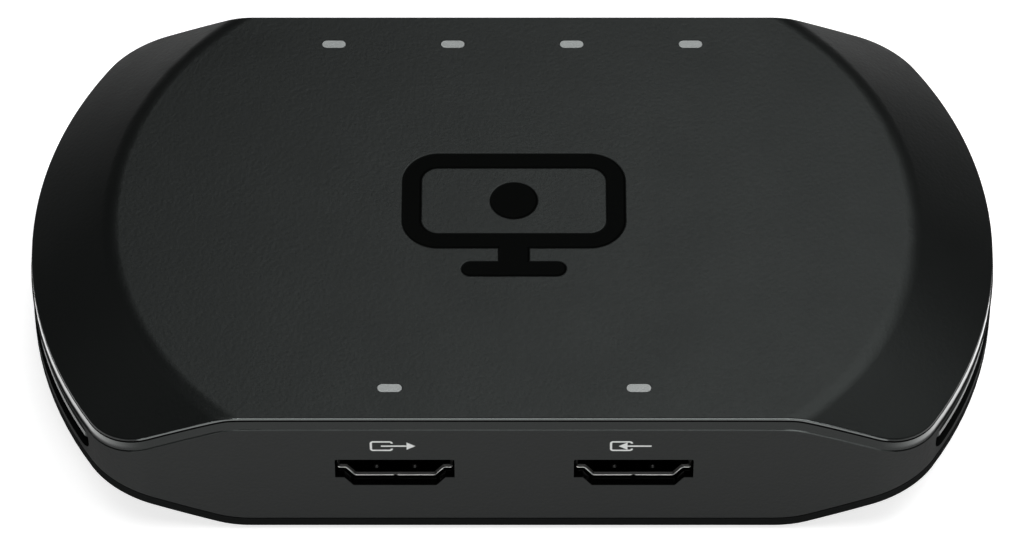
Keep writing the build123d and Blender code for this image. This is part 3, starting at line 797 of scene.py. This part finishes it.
class CaptureSockets(bpy.types.Operator):
    """Plate the sockets, roll their lips and fit the jacks' collars"""

    bl_idname = "capture.sockets"
    bl_label = "Sockets"

    def execute(self, context):
        sizes = context.scene.capture_fittings
        sheet = plated("plated_sheet", (0.5, 0.5, 0.49), 0.34, 0.5 * MM)
        bright = plated("rolled_edge", (0.66, 0.66, 0.65), 0.3, 0.4 * MM)
        black = moulded("insulator_black", (0.008, 0.008, 0.009), 0.45, 0.3 * MM, 0.003 * MM)
        gold = plated("gold_plate", (0.82, 0.58, 0.24), 0.25, 0.3 * MM)
        lips, lip = [], sizes.lip
        for port in VIDEO_PORTS:
            low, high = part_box(f"{port}_shell")
            width, height = high.x - low.x, high.z - low.z
            mouth = ((low.x + high.x) / 2, low.y, low.z)
            path = video_lip_path(width, height, lip / 2)
            lips.append(rolled_lip(path, mouth, -1, lip, 0.6 * lip, seam=sizes.seam, level=0.36 * height))
        for port in DATA_PORTS:
            low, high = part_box(f"{port}_shell")
            width, height = high.x - low.x, high.z - low.z
            mouth = ((low.x + high.x) / 2, high.y, low.z)
            path = slot_path(width, height, lip / 2)
            lips.append(rolled_lip(path, mouth, 1, lip, 0.4 * lip, seam=0.1 * sizes.seam, level=height))
        finish_piece("socket_lips", woven_mesh("socket_lips", lips, along=True), bright)
        collars = []
        for port in AUDIO_PORTS:
            low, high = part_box(f"{port}_jack")
            centre = ((low.x + high.x) / 2, high.y, (low.z + high.z) / 2)
            inner, outer, rise = 1.85 * MM, 2.5 * MM, sizes.collar
            ring = [(inner, -rise), (inner, 0.6 * rise), (inner + rise / 2, rise), (outer - rise, rise)]
            ring += [(outer, 0.3 * rise), (outer, -rise)]
            collars.append(turned(centre, ring, 64, "Y"))
        mesh = woven_mesh("jack_collars", collars, along=True)
        finish_piece("jack_collars", mesh, bright)
        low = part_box(f"{VIDEO_PORTS[0]}_shell")[0]
        # Where the painted shade inside the video sockets begins, and the top of their floor; the sheet itself
        # is dark plated
        dark = (low.y + 0.1 * MM, low.z + 0.35 * MM)
        shaded_sheet = plated("dark_sheet_with_painted_shade", (0.03, 0.03, 0.029), 0.34, 0.5 * MM, dark)
        for port in VIDEO_PORTS:
            dress(shaded_sheet, f"{port}_shell")
            dress(black, f"{port}_insulator")
            dress(gold, f"{port}_contacts")
        for port in DATA_PORTS:
            dress(sheet, f"{port}_shell")
            dress(black, f"{port}_insulator")
        for port in AUDIO_PORTS:
            dress(black, f"{port}_jack")
            dress(gold, f"{port}_leaves")
        return {"FINISHED"}


class CaptureFeet(bpy.types.Operator):
    """Turn the ribbed rubber feet"""

    bl_idname = "capture.feet"
    bl_label = "Feet"

    def execute(self, context):
        sizes = context.scene.capture_fittings
        rubber = moulded("foot_rubber", (0.016, 0.016, 0.0165), 0.72, 0.35 * MM, 0.012 * MM)
        rounding = 0.3 * MM
        turn = np.linspace(0, pi / 2, 7)
        for node in FOOT_NODES:
            low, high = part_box(node)
            centre = ((low.x + high.x) / 2, (low.y + high.y) / 2, low.z)
            full, tall = (high.x - low.x) / 2, high.z - low.z
            face = np.linspace(0, full - rounding, 60)
            waves = np.clip(1.6 * np.cos(face / full * 5 * pi) - 0.8, 0, 0.8)
            ribs = sizes.groove * waves * (face > 0.1 * full)
            edge = [full - rounding + rounding * np.sin(turn), rounding * (1 - np.cos(turn))]
            edge = np.stack(edge, -1)
            profile = np.vstack([np.stack([face, ribs], -1), edge, [(full, tall), (0, tall)]])
            mesh = woven_mesh(f"{node}_pad", [turned(centre, profile, 72, "Z")])
            mesh.set_sharp_from_angle(angle=radians(40))
            finish_piece(f"{node}_pad", mesh, rubber, (node,))
        return {"FINISHED"}


class CaptureScrews(bpy.types.Operator):
    """Cap the case screws with domed heads that have a cross recess"""

    bl_idname = "capture.screws"
    bl_label = "Screws"

    def execute(self, context):
        sizes = context.scene.capture_fittings
        zinc = moulded("black_zinc", (0.05, 0.05, 0.052), 0.38, 0.2 * MM, 0.002 * MM, metallic=1.0)
        low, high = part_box("case_screws")
        head, rise, thick = 2.2 * MM, 0.35 * MM, 0.9 * MM
        radius = head * np.linspace(0, 1, 40)[:, None] ** 0.8
        turn = np.linspace(0, 2 * pi, 96, endpoint=False)[None, :]
        x, y = radius * np.cos(turn), radius * np.sin(turn)
        arm, arm_slope = 0.16 * head, 0.06 * head
        reach, end_slope = 0.62 * head, 0.2 * head
        bars = [
            np.clip((arm - abs(across)) / arm_slope, 0, 1) * np.clip((reach - abs(along)) / end_slope, 0, 1)
            for along, across in ((x, y), (y, x))
        ]
        sunk = sizes.drive * np.maximum(*bars)
        dome = rise * (1 - (radius / head) ** 2) + 0 * turn
        face = np.stack([x, y, low.z - dome + sunk], -1)
        back = np.stack([x[::-1], y[::-1], np.full_like(x, low.z + thick)], -1)
        cap = np.concatenate([face, back])
        columns, rows = (low.x + head, high.x - head), (low.y + head, high.y - head)
        caps = [cap + np.asarray((column, row, 0)) for column in columns for row in rows]
        mesh = woven_mesh("case_screw_heads", caps)
        mesh.set_sharp_from_angle(angle=radians(35))
        finish_piece("case_screw_heads", mesh, zinc)
        dress(zinc, "case_screws", "board_screws")
        return {"FINISHED"}


class CaptureInside(bpy.types.Operator):
    """Give the light pipes, the board and its parts their materials"""

    bl_idname = "capture.inside"
    bl_label = "Light pipes and board"

    def execute(self, context):
        guide = guide_finish(context.scene.capture_fittings.guide)
        lamp = moulded("lamp_resin", (0.7, 0.68, 0.5), 0.3, 0.4 * MM, 0.002 * MM)
        epoxy = moulded("chip_epoxy", (0.01, 0.01, 0.011), 0.5, 0.25 * MM, 0.004 * MM)
        can = plated("crystal_can", (0.55, 0.55, 0.53), 0.35, 0.5 * MM)
        sleeve = plated("capacitor_can", (0.45, 0.46, 0.48), 0.32, 0.6 * MM)
        fins = moulded("fin_anodised", (0.22, 0.23, 0.25), 0.45, 0.3 * MM, 0.003 * MM, metallic=1.0)
        silicone = moulded("pad_silicone", (0.22, 0.28, 0.42), 0.7, 0.5 * MM, 0.01 * MM)
        powder = moulded("coil_powder", (0.03, 0.03, 0.033), 0.6, 0.2 * MM, 0.008 * MM)
        dress(mask_finish(), "main_board")
        dress(sleeve, "capacitors")
        dress(can, "clock_crystal")
        dress(fins, "heat_sink")
        dress(silicone, "thermal_pad")
        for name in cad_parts:
            if name.endswith("_light_pipe"):
                dress(guide, name)
            elif name.endswith("_lamp"):
                dress(lamp, name)
            elif name.endswith("_chip") or name == "video_processor":
                dress(epoxy, name)
            elif name.endswith("_power_coil"):
                dress(powder, name)
        return {"FINISHED"}


class CaptureStage(bpy.types.Operator):
    """Set the camera, the soft lamps and the pale floor"""

    bl_idname = "capture.stage"
    bl_label = "Stage"

    def execute(self, context):
        sizes = context.scene.capture_stage
        scene = context.scene
        scene.view_settings.view_transform = "Standard"
        half = sizes.floor / 2
        mesh = bpy.data.meshes.new("floor")
        corners = [(-half, -half, 0), (half, -half, 0), (half, half, 0), (-half, half, 0)]
        mesh.from_pydata(corners, [], [(0, 1, 2, 3)])
        floor = bpy.data.objects.new("floor", mesh)
        scene.collection.objects.link(floor)
        pale = Shading("pale_floor", base_color=(0.8, 0.8, 0.8, 1), roughness=1.0, specular_ior_level=0.0)
        pale.surface.inputs["Emission Strength"].default_value = 1.0
        path = pale.node("ShaderNodeLightPath")
        seen = path.out("Is Camera Ray").most(path.out("Is Transmission Ray")).most(path.out("Is Glossy Ray"))
        pale.set("Emission Color", pale.mix(seen, (0, 0, 0), (0.66, 0.66, 0.66)))
        mesh.materials.append(pale.material)

        world = bpy.data.worlds.new("studio")
        world.use_nodes = True
        world.node_tree.nodes["Background"].inputs["Color"].default_value = (0.08, 0.08, 0.08, 1)
        scene.world = world

        # Each panel's place, width, depth and power in watts
        lamps = {
            "top_panel": ((0, -0.12, 0.95), 0.9, 0.5, 3.6),
            "rear_panel": ((0.31, 0.425, 0.965), 1.0, 0.5, 5.5),
            "front_panel": ((0.22, -1.02, 0.5), 0.85, 0.35, 4.7),
            "right_panel": ((0.85, 0.1, 0.82), 0.6, 0.5, 1.1),
            "left_panel": ((-0.85, 0.2, 0.82), 0.4, 0.4, 0.2),
        }
        target = Vector(sizes.target)
        for name, (place, width, depth, power) in lamps.items():
            lamp = bpy.data.lights.new(name, "AREA")
            lamp.shape = "RECTANGLE"
            lamp.size, lamp.size_y = width, depth
            lamp.energy = power
            holder = bpy.data.objects.new(name, lamp)
            holder.location = place
            holder.rotation_mode = "QUATERNION"
            holder.rotation_quaternion = (target - holder.location).to_track_quat("-Z", "Y")
            scene.collection.objects.link(holder)

        lens = bpy.data.cameras.new("camera")
        lens.lens = sizes.lens
        lens.sensor_width = 36
        lens.clip_start, lens.clip_end = 0.01, 50
        camera = bpy.data.objects.new("camera", lens)
        back = Vector((0, -cos(sizes.elevation), sin(sizes.elevation)))
        camera.location = target + sizes.distance * back
        camera.rotation_mode = "QUATERNION"
        camera.rotation_quaternion = (-back).to_track_quat("-Z", "Y")
        scene.collection.objects.link(camera)
        scene.camera = camera
        return {"FINISHED"}


OPERATORS = (CaptureShells, CaptureSockets, CaptureFeet, CaptureScrews, CaptureInside, CaptureStage)


class CapturePanel(bpy.types.Panel):
    """Sidebar panel that lists the sizes and the steps"""

    bl_idname = "VIEW3D_PT_capture_box"
    bl_label = "Video capture box"
    bl_space_type = "VIEW_3D"
    bl_region_type = "UI"
    bl_category = "Capture box"

    def draw(self, context):
        for key, group in GROUPS.items():
            column = self.layout.column()
            column.label(text=group.__doc__)
            for name in group.__annotations__:
                column.prop(getattr(context.scene, key), name)
        for step in OPERATORS:
            self.layout.operator(step.bl_idname)


def register():
    for kind in (*GROUPS.values(), *OPERATORS, CapturePanel):
        bpy.utils.register_class(kind)
    for key, group in GROUPS.items():
        setattr(bpy.types.Scene, key, bpy.props.PointerProperty(type=group))


def unregister():
    for key in GROUPS:
        delattr(bpy.types.Scene, key)
    for kind in reversed((*GROUPS.values(), *OPERATORS, CapturePanel)):
        bpy.utils.unregister_class(kind)


def main():
    register()
    for step in OPERATORS:
        group, name = step.bl_idname.split(".")
        getattr(getattr(bpy.ops, group), name)()


if __name__ == "__main__":
    main()
